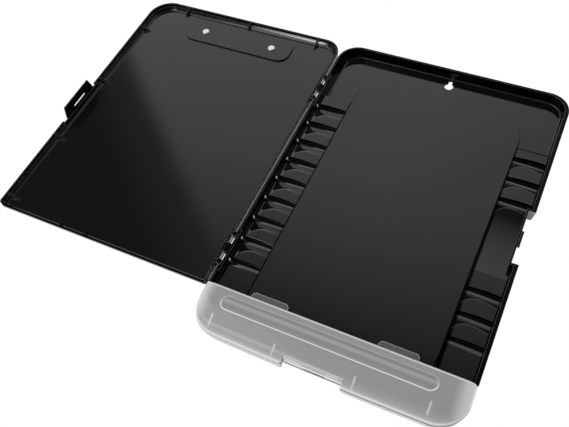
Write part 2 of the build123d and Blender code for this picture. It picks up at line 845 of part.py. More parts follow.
# Clip: plate riveted in the pocket, rod, spring and jaw
with BuildPart() as clip_base_plate:
    with BuildSketch(Plane.XY.offset(pocket_z - clip_plate_t)):
        with Locations((clip_x, pocket_mid_y)):
            RectangleRounded(clip_plate_l, clip_plate_w, 5.0)
        with Locations((clip_x - rivet_span / 2, clip_y), (clip_x + rivet_span / 2, clip_y)):
            Circle(rivet_r, mode=Mode.SUBTRACT)
    extrude(amount=clip_plate_t)
    for side in (-1, 1):
        middle = clip_x + side * plate_ear_x
        low = middle - ear_plate_t / 2
        high = middle + ear_plate_t / 2
        add(ring_prism("x", (rod_y, rod_z), ear_plate_r, low, high))
        half_foot = ear_plate_r + 1.2
        add(block(low, high, rod_y - half_foot, rod_y + half_foot, rod_z + 1.2, pocket_z - 0.2))
        add(block(low, high, rod_y - ear_plate_r, rod_y + ear_plate_r, rod_z, pocket_z - 0.2))
        add(ring_prism("x", (rod_y, rod_z), rod_r, low - 1, high + 1), mode=Mode.SUBTRACT)
clip_base_plate.part.label = "clip_base_plate"

rivet_low = pocket_z - clip_plate_t
rivet_high = lid_in_z + pocket_depth
for name, side in (("left", -1), ("right", 1)):
    with BuildPart() as clip_rivet:
        with Locations((clip_x + side * rivet_span / 2, clip_y, (rivet_low + rivet_high) / 2)):
            Cylinder(rivet_r, rivet_high - rivet_low + 1.0)
        with Locations((clip_x + side * rivet_span / 2, clip_y, rivet_high + rivet_head_t / 2)):
            Cylinder(rivet_head_r, rivet_head_t)
        fillet(clip_rivet.edges().group_by(Axis.Z)[-1], 0.9)
        with Locations((clip_x + side * rivet_span / 2, clip_y, rivet_low - 0.4)):
            Cylinder(rivet_head_r - 0.6, 0.8)
        fillet(clip_rivet.edges().group_by(Axis.Z)[0], 0.5)
    clip_rivet.part.label = "clip_rivet_" + name
    export_step(clip_rivet.part, "parts/clip_rivet_" + name + ".step")

with BuildPart() as clip_pivot_rod:
    add(ring_prism("x", (rod_y, rod_z), rod_r, clip_x - rod_half, clip_x + rod_half))
    chamfer(clip_pivot_rod.edges().filter_by(GeomType.CIRCLE), 0.25)
clip_pivot_rod.part.label = "clip_pivot_rod"

jaw_line = [
    (rod_y - 25.5, lid_out_z - 0.55),
    (rod_y - 23.2, lid_out_z - 1.3),
    (rod_y - 15.0, 1.9),
    (rod_y - 7.0, 0.75),
    (rod_y, 0.6),
    (rod_y + 8.0, 0.65),
    (rod_y + 12.5, 1.1),
]
jaw_faces = []
for side in (-1, 1):
    edge_points = []
    for index, (y, z) in enumerate(jaw_line):
        before = jaw_line[max(index - 1, 0)]
        after = jaw_line[min(index + 1, len(jaw_line) - 1)]
        along = Vector(after[0] - before[0], after[1] - before[1]).normalized()
        edge_points.append((y - along.Y * side * jaw_t / 2, z + along.X * side * jaw_t / 2))
    jaw_faces.append(edge_points)
with BuildPart() as clip_jaw:
    with BuildSketch(Plane.YZ.offset(clip_x - jaw_w / 2)):
        with BuildLine():
            Spline(*jaw_faces[0])
            Spline(*jaw_faces[1])
            Line(jaw_faces[0][0], jaw_faces[1][0])
            Line(jaw_faces[0][-1], jaw_faces[1][-1])
        make_face()
    extrude(amount=jaw_w)
    for side in (-1, 1):
        middle = clip_x + side * jaw_ear_x
        low = middle - ear_plate_t / 2
        high = middle + ear_plate_t / 2
        add(ring_prism("x", (rod_y, rod_z), jaw_ear_r, low, high))
        add(block(low, high, rod_y - jaw_ear_r, rod_y + jaw_ear_r, 0.6, rod_z))
        add(ring_prism("x", (rod_y, rod_z), rod_r + rod_fit, low - 1, high + 1), mode=Mode.SUBTRACT)
clip_jaw.part.label = "clip_jaw"

# Torsion springs on the rod, one leg on the plate and one over the lever
pitch = 2 * spring_wire_r + 0.12
coil_l = pitch * spring_turns
coil = Helix(pitch, coil_l, spring_mean_r)
turns = sweep(Plane(origin=coil @ 0, z_dir=coil % 0) * Circle(spring_wire_r), path=coil)
with BuildPart() as clip_spring:
    for middle in (clip_x - spring_x, clip_x + spring_x):
        start_x = middle - coil_l / 2
        end_x = middle + coil_l / 2
        add(Pos(start_x, rod_y, rod_z) * Rot(0, 90, 0) * turns)
        leg_z = rod_z + spring_mean_r
        add(ring_prism("y", (end_x, leg_z), spring_wire_r, rod_y - 6.5, rod_y))
clip_spring.part.label = "clip_spring"

export_step(base_tray.part, "parts/base_tray.step")
export_step(lid_panel.part, "parts/lid_panel.step")
export_step(lid_latch_tab.part, "parts/lid_latch_tab.step")
export_step(compartment_tray.part, "parts/compartment_tray.step")
export_step(compartment_cover.part, "parts/compartment_cover.step")
export_step(cover_latch_tab.part, "parts/cover_latch_tab.step")
export_step(clip_base_plate.part, "parts/clip_base_plate.step")
export_step(clip_pivot_rod.part, "parts/clip_pivot_rod.step")
export_step(clip_jaw.part, "parts/clip_jaw.step")
export_step(clip_spring.part, "parts/clip_spring.step")
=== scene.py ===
"""Finish and stage for a flat storage clipboard: black moulded case and lid, a translucent
pencil compartment and a riveted clip, photographed lying open on white."""

import bpy
from mathutils import Euler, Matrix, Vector

bl_info = {
    "name": "Storage clipboard finish",
    "version": (1, 0, 0),
    "blender": (4, 5, 0),
    "location": "View3D > Sidebar > Clipboard",
    "description": "Materials, edges, light and camera for a flat storage clipboard",
    "category": "Object",
}

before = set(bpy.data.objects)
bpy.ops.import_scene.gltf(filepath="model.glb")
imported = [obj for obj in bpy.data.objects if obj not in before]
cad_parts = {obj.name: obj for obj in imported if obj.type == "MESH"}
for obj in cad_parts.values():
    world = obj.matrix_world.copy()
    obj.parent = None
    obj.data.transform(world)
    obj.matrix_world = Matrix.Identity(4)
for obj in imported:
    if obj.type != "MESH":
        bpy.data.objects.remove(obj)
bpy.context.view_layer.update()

MOULDED_NODES = ("base_tray", "lid_panel", "lid_latch_tab")
FROSTED_NODES = ("compartment_tray", "compartment_cover", "cover_latch_tab")
PLATED_NODES = ("clip_base_plate", "clip_jaw", "clip_rivet_left", "clip_rivet_right")
WIRE_NODES = ("hinge_pin_near", "hinge_pin_far", "clip_pivot_rod", "clip_spring")

# Sizes that the materials follow, in millimetres in each node's own frame.
# A pair is a span: from and to, along X, Y or Z as its name says.
SEAM_Y = -134.5
RIM_Z = (9.0, 9.3)
HINGE_SIDE_X = (-124.6, -119.0)

# Raised floor
PLATEAU_MID = 0.5
PLATEAU_HALF = 85.3
PLATEAU_CORNER = 30.0
PLATEAU_FAR = 142.0
PLATEAU_WALL_Z = (3.4, 8.3)
# Widths of the painted shade line along the crease, left and right
CREASE_LEFT = 0.95
CREASE_RIGHT = (0.7, 2.3)

# Strips down both sides and their cells, counted from the far end
LEFT_STRIP_X = (-113.6, -85.2)
RIGHT_STRIP_X = (86.0, 114.5)
LEFT_STRIP_END = 109.0
RIGHT_STRIP_END = 104.9
STRIP_TOP_Z = (6.0, 8.3)
CELLS_Y = (-106.5, 92.0)
CELL_FIRST = 90.6
CELL_PITCH = 24.4
CELL_LAST_DEEP = 7.0
CELL_AT_SCOOP = 4.0

# Latch recess in the right wall, and the ledge along the lid's far side
RECESS_FAR = 35.0
RECESS_X = (113.0, 114.0)
LID_STEP = 10.6
LEDGE_Y = (170.0, 176.0)

# Compartment and its cover
COVER_RIBS = (-99.3, -39.0, 31.5, 91.7)
RIB_Y = (-175.5, -166.5)
COVER_REAR = -136.5
COVER_TOP_Z = (19.5, 20.0)
GROOVE_X = -2.5
GROOVE_Y = -148.8
GROOVE_LONG = 190.0
GROOVE_WIDE = 12.5
PARTING_Z = 4.75
FLAP_X = (-30.6, 23.2)
SLOT_X = (-12.5, 8.0)

# Finishes: the mould's texture under each material, and the colours of painted light and shade
MOULDED_TEXTURE = {
    "Grain size": 1500.0, "Grain depth": 0.25, "Waviness": 0.5, "Gloss change": 0.05}
FROSTED_TEXTURE = {
    "Grain size": 1200.0, "Grain depth": 0.2, "Waviness": 0.4, "Gloss change": 0.06}
METAL_TEXTURE = {
    "Grain size": 2400.0, "Grain depth": 0.3, "Waviness": 0.2, "Gloss change": 0.1}
WAVE_SCALE = 26.0
SMEAR_SCALE = 60.0
RELIEF_DEPTH = 0.0002
FINE_EDGE = 0.0003
SHARP_ANGLE = 0.5
# Colours of the painted highlights and painted shade, and the opacity under the painted light
PAINTED_LIGHT_GREY = (0.55, 0.55, 0.56, 1)
MILKY_PAINTED_LIGHT = (0.86, 0.86, 0.86, 1)
MILKY_SHADE = (0.06, 0.06, 0.06, 1)
PAINTED_LIGHT_OPACITY = 0.95
TONGUE_OPACITY = (0.26, 0.9)

# Stage
FLOOR_Z = -0.0002
FLOOR_REACH = 4.0
KEY_SIZE = (1.2, 0.8)
KEY_PLACE = (-0.9, -0.5, 1.1)
KEY_AIM = (-0.1, 0, 0)
CAMERA_PLACE = (0.12456, -0.3415, 0.55596)
CAMERA_TURN = (0.603289, 0.110626, 0.439158)
CAMERA_LENS = 44.847
CAMERA_SHIFT = (-0.01245, -0.02851)

# What glossy surfaces mirror, by slope across and away from straight up. The studio is bright
# behind the object and dark before it, and the line between the halves runs aslant.
SKY_TOP = 1.35
SKY_REACH = 1.6
SKY_RISE = (
    (0.34, 0.10), (0.38, 0.22), (0.41, 0.36), (0.44, 0.46), (0.47, 0.55), (0.51, 0.68),
    (0.55, 0.79), (0.60, 0.92), (0.65, 1.0), (0.70, 1.06), (0.80, 1.12), (0.90, 1.2), (1.3, 1.35))
SKY_LOWEST = 0.05
HALVES_LEAN = 0.875
HALVES_EDGE = 0.055
DARK_HALF = ((-0.12, 0.0), (0.06, 0.22))
DARK_HALF_LOW = ((-1.6, -0.6), (0.6, 0.0))
BRIGHT_HALF_ACROSS = ((-0.25, 0.3), (0.93, 0.45))
HORIZON_HEIGHT = 0.1
HORIZON_LEVEL = 0.3
# A faint strip lamp low on the left, for the rounded edges
STRIP_ACROSS = (-4.0, -3.0, -1.6, -1.3)
STRIP_AWAY = (-2.5, -1.5, 1.5, 2.5)


class MouldedPlasticSettings(bpy.types.PropertyGroup):
    """Black case and lid."""

    colour: bpy.props.FloatVectorProperty(
        name="Colour", description="Colour of the black moulding", subtype="COLOR", size=3,
        min=0.0, max=1.0, default=(0.005, 0.005, 0.0054))
    roughness: bpy.props.FloatProperty(
        name="Roughness", description="Gloss of the moulding, lower is glossier",
        min=0.0, max=1.0, default=0.06)
    edge: bpy.props.FloatProperty(
        name="Edge radius", description="Rounding of the mould's sharp edges", unit="LENGTH",
        min=0.0, max=0.002, default=0.0006)


class FrostedPlasticSettings(bpy.types.PropertyGroup):
    """Translucent pencil compartment."""

    colour: bpy.props.FloatVectorProperty(
        name="Colour", description="Smoke grey of the compartment", subtype="COLOR", size=3,
        min=0.0, max=1.0, default=(0.36, 0.36, 0.365))
    opacity: bpy.props.FloatProperty(
        name="Opacity", description="How much of what lies behind is hidden", subtype="FACTOR",
        min=0.0, max=1.0, default=0.82)
    roughness: bpy.props.FloatProperty(
        name="Roughness", description="Softness of its shine", min=0.0, max=1.0, default=0.3)


class MetalSettings(bpy.types.PropertyGroup):
    """Clip, rod, pins and rivets."""

    plate: bpy.props.FloatVectorProperty(
        name="Plate", description="Colour of the plated clip", subtype="COLOR", size=3,
        min=0.0, max=1.0, default=(0.7, 0.7, 0.71))
    wire: bpy.props.FloatVectorProperty(
        name="Wire", description="Colour of the drawn steel", subtype="COLOR", size=3,
        min=0.0, max=1.0, default=(0.45, 0.45, 0.46))


class StageSettings(bpy.types.PropertyGroup):
    """Light and backdrop."""

    backdrop: bpy.props.FloatVectorProperty(
        name="Backdrop", description="Colour of floor and backdrop", subtype="COLOR", size=3,
        min=0.0, max=1.0, default=(1.0, 1.0, 1.0))
    key_power: bpy.props.FloatProperty(
        name="Key power", description="Power of the large soft lamp", unit="POWER",
        min=0.0, default=6.0)
    sky: bpy.props.FloatProperty(
        name="Sky", description="Level of the even light all round", min=0.0, default=0.75)
    strip: bpy.props.FloatProperty(
        name="Strip lamp", description="Level of the lamp that edges mirror",
        min=0.0, default=1.2)


def new_material(name):
    """An empty node material and its tree."""
    material = bpy.data.materials.new(name)
    material.use_nodes = True
    tree = material.node_tree
    tree.nodes.clear()
    return material, tree


def add_node(tree, kind, place, **values):
    """A node at a place, with plain attributes set."""
    node = tree.nodes.new(kind)
    node.location = place
    for key, value in values.items():
        setattr(node, key, value)
    return node


def feed(tree, socket, value):
    """A link where the value is a socket, and a constant otherwise."""
    if isinstance(value, bpy.types.NodeSocket):
        tree.links.new(value, socket)
    else:
        socket.default_value = value


def maths(tree, operation, *values):
    """One maths node over sockets or numbers."""
    node = add_node(tree, "ShaderNodeMath", (0, 0), operation=operation)
    for socket, value in zip(node.inputs, values):
        feed(tree, socket, value)
    return node.outputs[0]


def plus(tree, first, second):
    """The sum of two values."""
    return maths(tree, "ADD", first, second)


def minus(tree, first, second):
    """The first value less the second."""
    return maths(tree, "SUBTRACT", first, second)


def times(tree, first, *others):
    """Several masks together."""
    for other in others:
        first = maths(tree, "MULTIPLY", first, other)
    return first


def largest(tree, first, *others):
    """The strongest of several masks."""
    for other in others:
        first = maths(tree, "MAXIMUM", first, other)
    return first


def strongest(tree, levels):
    """The strongest of several masks, each at its own level."""
    return largest(tree, *[times(tree, mask, level) for mask, level in levels])


def gap(tree, value, middle=0.0):
    """How far a value lies from a middle, either side."""
    return maths(tree, "ABSOLUTE", minus(tree, value, middle))


def length(tree, first, second):
    """The length of a line with these two legs."""
    return maths(tree, "SQRT", plus(tree, times(tree, first, first), times(tree, second, second)))


def map_range(tree, value, source, target, smooth=False):
    """A value carried from one range to another and held at its ends."""
    kind = "SMOOTHSTEP" if smooth else "LINEAR"
    node = add_node(tree, "ShaderNodeMapRange", (0, 0), interpolation_type=kind)
    for socket, number in zip(node.inputs[:5], (value, *source, *target)):
        feed(tree, socket, number)
    return node.outputs["Result"]


def rise(tree, value, empty, full, smooth=False):
    """Nothing at the first number and one at the second."""
    return map_range(tree, value, (empty, full), (0.0, 1.0), smooth)


def fall(tree, value, full, empty, smooth=False):
    """One at the first number and nothing at the second."""
    return map_range(tree, value, (full, empty), (1.0, 0.0), smooth)


def window(tree, value, low, high, soft):
    """One inside a span, nothing outside it, with a soft edge at each end."""
    return times(tree, rise(tree, value, low - soft, low), fall(tree, value, high, high + soft))


def near(tree, value, middle, reach):
    """One about a middle, gone at its reach either side."""
    return fall(tree, gap(tree, value, middle), reach * 0.5, reach)


def soft_spot(tree, value, middle, reach):
    """One at a middle, falling smoothly to nothing either side."""
    return fall(tree, gap(tree, value, middle), 0.0, reach, smooth=True)


def blend(tree, factor, first, second):
    """From the first value to the second as the factor rises."""
    return mix_values(tree, "FLOAT", factor, first, second)


def tint(tree, factor, first, second):
    """From the first colour to the second as the factor rises."""
    return mix_values(tree, "RGBA", factor, first, second)


def mix_values(tree, kind, factor, first, second):
    """A mix node over numbers or colours."""
    node = add_node(tree, "ShaderNodeMix", (0, 0), data_type=kind)
    for name, value in (("Factor", factor), ("A", first), ("B", second)):
        feed(tree, node.inputs[name], value)
    return node.outputs["Result"]


def place_in_mm(tree):
    """A node's own X, Y and Z in millimetres, and how far its face looks up."""
    where = add_node(tree, "ShaderNodeTexCoord", (-1600, 0))
    scaled = add_node(tree, "ShaderNodeVectorMath", (-1400, 0), operation="SCALE")
    scaled.inputs["Scale"].default_value = 1000.0
    tree.links.new(where.outputs["Object"], scaled.inputs[0])
    place = add_node(tree, "ShaderNodeSeparateXYZ", (-1200, 0))
    tree.links.new(scaled.outputs["Vector"], place.inputs[0])
    facing = add_node(tree, "ShaderNodeSeparateXYZ", (-1200, -200))
    tree.links.new(where.outputs["Normal"], facing.inputs[0])
    return place.outputs[0], place.outputs[1], place.outputs[2], facing.outputs[2]


def noise(tree, scale, detail):
    """Noise over a node's own place."""
    where = add_node(tree, "ShaderNodeTexCoord", (-900, -300))
    node = add_node(tree, "ShaderNodeTexNoise", (-600, 0))
    tree.links.new(where.outputs["Object"], node.inputs["Vector"])
    feed(tree, node.inputs["Scale"], scale)
    node.inputs["Detail"].default_value = detail
    return node.outputs["Fac"]


def new_group(name, inputs, outputs):
    """A new shader group with float inputs and outputs, and its two end nodes."""
    group = bpy.data.node_groups.new(name, "ShaderNodeTree")
    for label in inputs:
        group.interface.new_socket(label, in_out="INPUT", socket_type="NodeSocketFloat")
    for label in outputs:
        group.interface.new_socket(label, in_out="OUTPUT", socket_type="NodeSocketFloat")
    start = add_node(group, "NodeGroupInput", (-900, 0))
    end = add_node(group, "NodeGroupOutput", (1200, 0))
    return group, start, end


def use_group(tree, group, values):
    """A group's node in a tree, with its inputs set."""
    node = add_node(tree, "ShaderNodeGroup", (-900, 0), node_tree=group)
    for label, value in values.items():
        node.inputs[label].default_value = value
    return node


def mould_texture_group():
    """Fine moulded grain, slow waviness and a gloss that varies a little."""
    name = "mould_texture"
    if name in bpy.data.node_groups:
        return bpy.data.node_groups[name]
    group, start, end = new_group(
        name, ("Grain size", "Grain depth", "Waviness", "Gloss", "Gloss change"),
        ("Height", "Roughness"))
    grain = noise(group, start.outputs["Grain size"], 2.0)
    wave = noise(group, WAVE_SCALE, 1.0)
    smear = noise(group, SMEAR_SCALE, 4.0)
    height = plus(group, times(group, grain, start.outputs["Grain depth"]),
                  times(group, wave, start.outputs["Waviness"]))
    gloss = maths(group, "MULTIPLY_ADD", minus(group, smear, 0.5),
                  start.outputs["Gloss change"], start.outputs["Gloss"])
    feed(group, end.inputs["Height"], height)
    feed(group, end.inputs["Roughness"], gloss)
    return group


def edge_highlight_group():
    """How much the surface turns within a short reach: the mould's edges and creases, for painted
    highlights.
    """
    name = "edge_wear"
    if name in bpy.data.node_groups:
        return bpy.data.node_groups[name]
    group, start, end = new_group(name, ("Reach",), ("Edge",))
    rounded = add_node(group, "ShaderNodeBevel", (-600, 0), samples=8)
    group.links.new(start.outputs["Reach"], rounded.inputs["Radius"])
    plain = add_node(group, "ShaderNodeNewGeometry", (-600, -300))
    turn = add_node(group, "ShaderNodeVectorMath", (-300, 0), operation="DOT_PRODUCT")
    group.links.new(rounded.outputs["Normal"], turn.inputs[0])
    group.links.new(plain.outputs["True Normal"], turn.inputs[1])
    feed(group, end.inputs["Edge"], rise(group, turn.outputs["Value"], 0.98, 0.8))
    return group


def plateau_crease(tree, x, y, z):
    """Painted shade in the crease round the raised floor: fine on the left, wider toward the near
    right.
    """
    part_x = minus(tree, gap(tree, x, PLATEAU_MID), PLATEAU_HALF - PLATEAU_CORNER)
    part_y = minus(tree, y, PLATEAU_FAR - PLATEAU_CORNER)
    outer = length(tree, largest(tree, part_x, 0.0), largest(tree, part_y, 0.0))
    inner = maths(tree, "MINIMUM", largest(tree, part_x, part_y), 0.0)
    beyond = minus(tree, plus(tree, outer, inner), PLATEAU_CORNER)
    wide = map_range(tree, y, (130.0, -80.0), CREASE_RIGHT)
    wide = blend(tree, rise(tree, x, 0.0, 10.0), CREASE_LEFT, wide)
    line = fall(tree, maths(tree, "DIVIDE", gap(tree, beyond), wide), 0.7, 1.0)
    fade = map_range(tree, y, (PLATEAU_FAR - 18.0, PLATEAU_FAR - 1.0), (1.0, 0.3))
    return times(tree, line, window(tree, z, *PLATEAU_WALL_Z, 0.1), fade)


def strip_ends(tree, x, y):
    """A painted shade line at each strip's far end."""
    left = times(tree, near(tree, y, LEFT_STRIP_END, 0.8), window(tree, x, -107.0, -85.0, 1.0))
    right = times(tree, near(tree, y, RIGHT_STRIP_END, 0.8), window(tree, x, 85.0, 115.0, 1.0))
    return largest(tree, left, right)


def left_cell_light_and_shade(tree, x, along, cell, strip):
    """Painted light and shade in each cell of the left strip: pale lens, bright shoulder, dark
    wedge.
    """
    share = rise(tree, x, -112.0, -85.0)
    bowed = plus(tree, map_range(tree, share, (0.0, 0.2), (4.6, 8.3)),
                 map_range(tree, share, (0.2, 1.0), (0.0, 1.3)))
    past = minus(tree, along, bowed)
    turned = fall(tree, share, 0.06, 0.5)
    pad_edge = maths(tree, "MULTIPLY_ADD", times(tree, turned, turned), 6.0,
                     map_range(tree, share, (0.25, 1.0), (9.0, 9.9)))
    beside = minus(tree, along, pad_edge)
    strip = times(tree, strip, fall(tree, cell, CELL_LAST_DEEP + 0.4, CELL_LAST_DEEP + 0.6))
    lens = times(tree, strip, window(tree, past, -3.2, 0.0, 0.2), rise(tree, share, 0.0, 0.12))
    shoulder = times(tree, strip, near(tree, beside, 0.0, 0.75), rise(tree, share, 0.02, 0.1),
                     map_range(tree, share, (0.6, 1.0), (1.0, 0.3)))
    wedge = times(tree, strip, rise(tree, past, -0.3, 0.0), fall(tree, beside, -0.6, -0.2))
    return lens, shoulder, wedge


def right_cell_light_and_shade(tree, x, along, cell, strip):
    """The painted shade wedge and painted pale line in each cell of the right strip, under an
    arched pad.
    """
    share = rise(tree, x, *RIGHT_STRIP_X)
    inner = fall(tree, share, 0.0, 0.5)
    outer = rise(tree, share, 0.4, 1.0)
    arch = plus(tree, maths(tree, "MULTIPLY_ADD", times(tree, inner, inner, inner), 8.0, 5.6),
                times(tree, outer, outer, 2.6))
    over = minus(tree, along, arch)
    strip = times(tree, strip, rise(tree, gap(tree, cell, CELL_AT_SCOOP), 1.2, 1.4))
    wedge = times(tree, strip, window(tree, along, 5.0, 14.0, 0.3), fall(tree, over, -0.4, 0.0))
    line = times(tree, strip, near(tree, over, 0.0, 0.7))
    return wedge, line


def tray_light_and_shade_group():
    """Fine lines of the case and lid: painted shade in deep creases, painted highlights on bright
    arrises and the cells' shoulders.
    """
    name = "tray_marks"
    if name in bpy.data.node_groups:
        return bpy.data.node_groups[name]
    group, _, end = new_group(name, (), ("Dark", "Light"))
    x, y, z, up = place_in_mm(group)
    steep = fall(group, gap(group, up), 0.25, 0.5)
    rim = rise(group, z, *RIM_Z)
    top = window(group, z, *STRIP_TOP_Z, 0.1)
    crease = plateau_crease(group, x, y, z)
    ends = times(group, strip_ends(group, x, y), top)

    # How far each point lies from its cell's far edge
    steps = maths(group, "DIVIDE", minus(group, CELL_FIRST, y), CELL_PITCH)
    cell = maths(group, "FLOOR", plus(group, steps, 0.2))
    along = times(group, minus(group, steps, cell), CELL_PITCH)
    run = window(group, y, *CELLS_Y, 0.5)
    left = times(group, window(group, x, *LEFT_STRIP_X, 0.2), run, top)
    right = times(group, window(group, x, *RIGHT_STRIP_X, 0.2), run, top)
    lens, shoulder, wedge = left_cell_light_and_shade(group, x, along, cell, left)
    right_wedge, right_line = right_cell_light_and_shade(group, x, along, cell, right)

    # Painted highlights on bright edges: the last deep cell's arris, the slope below it, and small
    # glints
    arris_edges = use_group(group, edge_highlight_group(), {"Reach": 0.0006}).outputs["Edge"]
    arris = times(group, arris_edges, window(group, z, 6.7, 7.4, 0.1),
                  window(group, x, *LEFT_STRIP_X, 0.2), window(group, along, -4.2, 1.6, 0.2),
                  near(group, cell, CELL_LAST_DEEP, 0.5))
    gleam = times(group, window(group, y, -113.0, -104.0, 0.3),
                  window(group, x, -110.0, -85.2, 1.5), window(group, z, 3.0, 7.1, 0.1),
                  window(group, along, 4.2, 7.4, 0.3))
    foot = times(group, top, run, near(group, x, -112.5, 0.9), rise(group, along, 13.0, 16.0))
    glint = times(group, run, window(group, x, -116.2, -112.9, 0.3),
                  window(group, z, 6.6, 9.4, 0.3), near(group, along, 0.2, 1.5))
    ledge = times(group, window(group, z, LID_STEP - 0.9, LID_STEP + 0.2, 0.2),
                  window(group, y, *LEDGE_Y, 0.2), rise(group, x, -235.0, -165.0),
                  rise(group, x, -140.0, -146.0))
    butt = times(group, near(group, y, RECESS_FAR, 0.5), rise(group, x, *RECESS_X), steep)

    # Painted shade goes out as Dark, and painted highlights and reflections as Light
    feed(group, end.inputs["Dark"], strongest(group, (
        (steep, 0.9), (rim, 0.88), (crease, 1.0), (ends, 1.0), (wedge, 1.0),
        (right_wedge, 0.85))))
    feed(group, end.inputs["Light"], strongest(group, (
        (lens, 0.02), (shoulder, 0.13), (arris, 0.9), (gleam, 1.0), (foot, 0.13), (glint, 1.0),
        (right_line, 0.06), (butt, 0.4), (ledge, 1.0))))
    return group


def cover_rib_lines(tree, x, y, z):
    """The cover's ribs, which show through near its front edge and follow its bow."""
    ribs = 0.0
    for middle in COVER_RIBS:
        ribs = plus(tree, ribs, near(tree, x, middle, 1.1))
    set_back = map_range(tree, gap(tree, x), (60.0, 80.0), (0.0, 4.0))
    span = window(tree, minus(tree, y, set_back), *RIB_Y, 1.6)
    return times(tree, ribs, span, rise(tree, z, 14.0, 15.0))


def groove_light_and_shade(tree, x, y, z):
    """The groove's painted highlights on its bright rim and a streak along its floor, and painted
    shade at its sides.
    """
    end_x = largest(tree, minus(tree, gap(tree, x, GROOVE_X), (GROOVE_LONG - GROOVE_WIDE) / 2), 0.0)
    side_y = minus(tree, y, GROOVE_Y)
    ring = minus(tree, length(tree, end_x, side_y), GROOVE_WIDE / 2)
    top = rise(tree, z, *COVER_TOP_Z)
    rim = times(tree, near(tree, ring, 0.0, 0.85),
                map_range(tree, side_y, (-3.0, 3.0), (1.0, 0.12)), top)
    hollow = times(tree, fall(tree, ring, -1.6, -0.2), top)
    streak = times(tree, hollow, soft_spot(tree, side_y, 1.6, 2.0), 0.16)
    shade = times(tree, hollow, strongest(tree, (
        (soft_spot(tree, side_y, -2.2, 2.6), 0.16), (soft_spot(tree, side_y, 5.4, 3.0), 0.3))))
    return rim, streak, shade


def cover_light_and_shade_group():
    """Ribs and rims that show through the milky compartment, its painted light and shade, and
    painted shade in its parting lines.
    """
    name = "cover_marks"
    if name in bpy.data.node_groups:
        return bpy.data.node_groups[name]
    group, _, end = new_group(name, (), ("Light", "Dark", "Inside"))
    x, y, z, up = place_in_mm(group)
    ribs = cover_rib_lines(group, x, y, z)
    rim, streak, shade = groove_light_and_shade(group, x, y, z)

    # Painted light and shade in bands along the rolled near side, from the parting line up to the
    # dome
    front = rise(group, y, -150.0, -156.0)
    stronger_right = map_range(group, x, (-10.0, 10.0), (0.45, 1.0))
    weaker_right = map_range(group, x, (-30.0, 0.0), (1.0, 0.3))
    parting = near(group, z, PARTING_Z, 2.6)
    hem = times(group, front, window(group, z, 11.8, 12.75, 0.15))
    lip = times(group, front, near(group, z, 13.35, 0.7), stronger_right)
    pale = times(group, front, window(group, z, 13.9, 15.0, 0.5))
    furrow = times(group, front, soft_spot(group, z, 16.2, 0.8), weaker_right)
    ridge = times(group, front, soft_spot(group, z, 17.3, 0.9), weaker_right)
    sole = fall(group, z, 0.3, 0.8)

    # Painted light: where the wall is seen edge on, and along the seam, the plastic is painted
    # whiter
    before_seam = rise(group, y, SEAM_Y, SEAM_Y - 1.0)
    lean = rise(group, up, 0.9, 0.3, smooth=True)
    rolled = times(group, map_range(group, z, (18.0, 12.8), (0.0, 0.6), smooth=True),
                   rise(group, z, 11.0, 12.0), before_seam)
    ends = times(group, map_range(group, gap(group, x), (104.0, 119.0), (0.0, 0.7), smooth=True),
                 before_seam)
    seam = times(group, near(group, y, COVER_REAR - 0.5, 1.0), rise(group, z, 13.0, 14.0))

    # Latch flap painted light, and its slot painted dark as a shadow line
    flap = times(group, window(group, x, *FLAP_X, 0.2), rise(group, y, -170.6, -170.9),
                 window(group, z, 11.0, 15.3, 0.2))
    slot = times(group, window(group, x, *SLOT_X, 0.2), window(group, y, -177.2, -172.0, 0.2),
                 window(group, z, 13.7, 15.0, 0.1), fall(group, gap(group, up), 0.3, 0.6))

    # Light is the painted light; Dark is the painted shade in the parting gap, slot, sole and bands
    feed(group, end.inputs["Light"], strongest(group, (
        (ribs, 0.55), (rim, 1.0), (lean, 1.0), (rolled, 1.0), (ends, 1.0), (seam, 1.0),
        (pale, 0.8), (ridge, 0.22), (streak, 1.0), (flap, 0.8))))
    feed(group, end.inputs["Dark"], strongest(group, (
        (parting, 0.85), (slot, 1.0), (sole, 0.6), (lip, 0.75), (hem, 0.7), (furrow, 0.12),
        (shade, 1.0))))
    feed(group, end.inputs["Inside"], rise(group, y, SEAM_Y + 0.2, SEAM_Y + 0.6))
    return group


def place_texture(tree, shader, texture_values, gloss, bump, radius=FINE_EDGE):
    """The mould texture wired to a shader's roughness and normal, over softly rounded edges."""
    texture = use_group(tree, mould_texture_group(), {**texture_values, "Gloss": gloss})
    relief = add_node(tree, "ShaderNodeBump", (-300, -200))
    relief.inputs["Strength"].default_value = bump
    relief.inputs["Distance"].default_value = RELIEF_DEPTH
    tree.links.new(texture.outputs["Height"], relief.inputs["Height"])
    rounded = add_node(tree, "ShaderNodeBevel", (-500, -400), samples=8)
    rounded.inputs["Radius"].default_value = radius
    tree.links.new(rounded.outputs["Normal"], relief.inputs["Normal"])
    tree.links.new(texture.outputs["Roughness"], shader.inputs["Roughness"])
    tree.links.new(relief.outputs["Normal"], shader.inputs["Normal"])


def finish_material(tree, shader):
    """The shader wired to the material's surface."""
    end = add_node(tree, "ShaderNodeOutputMaterial", (300, 0))
    tree.links.new(shader.outputs[0], end.inputs["Surface"])


def dress(names, material):
    """Gives every slot of some CAD nodes one material."""
    for name in names:
        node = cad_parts[name]
        node.data.materials.clear()
        node.data.materials.append(material)


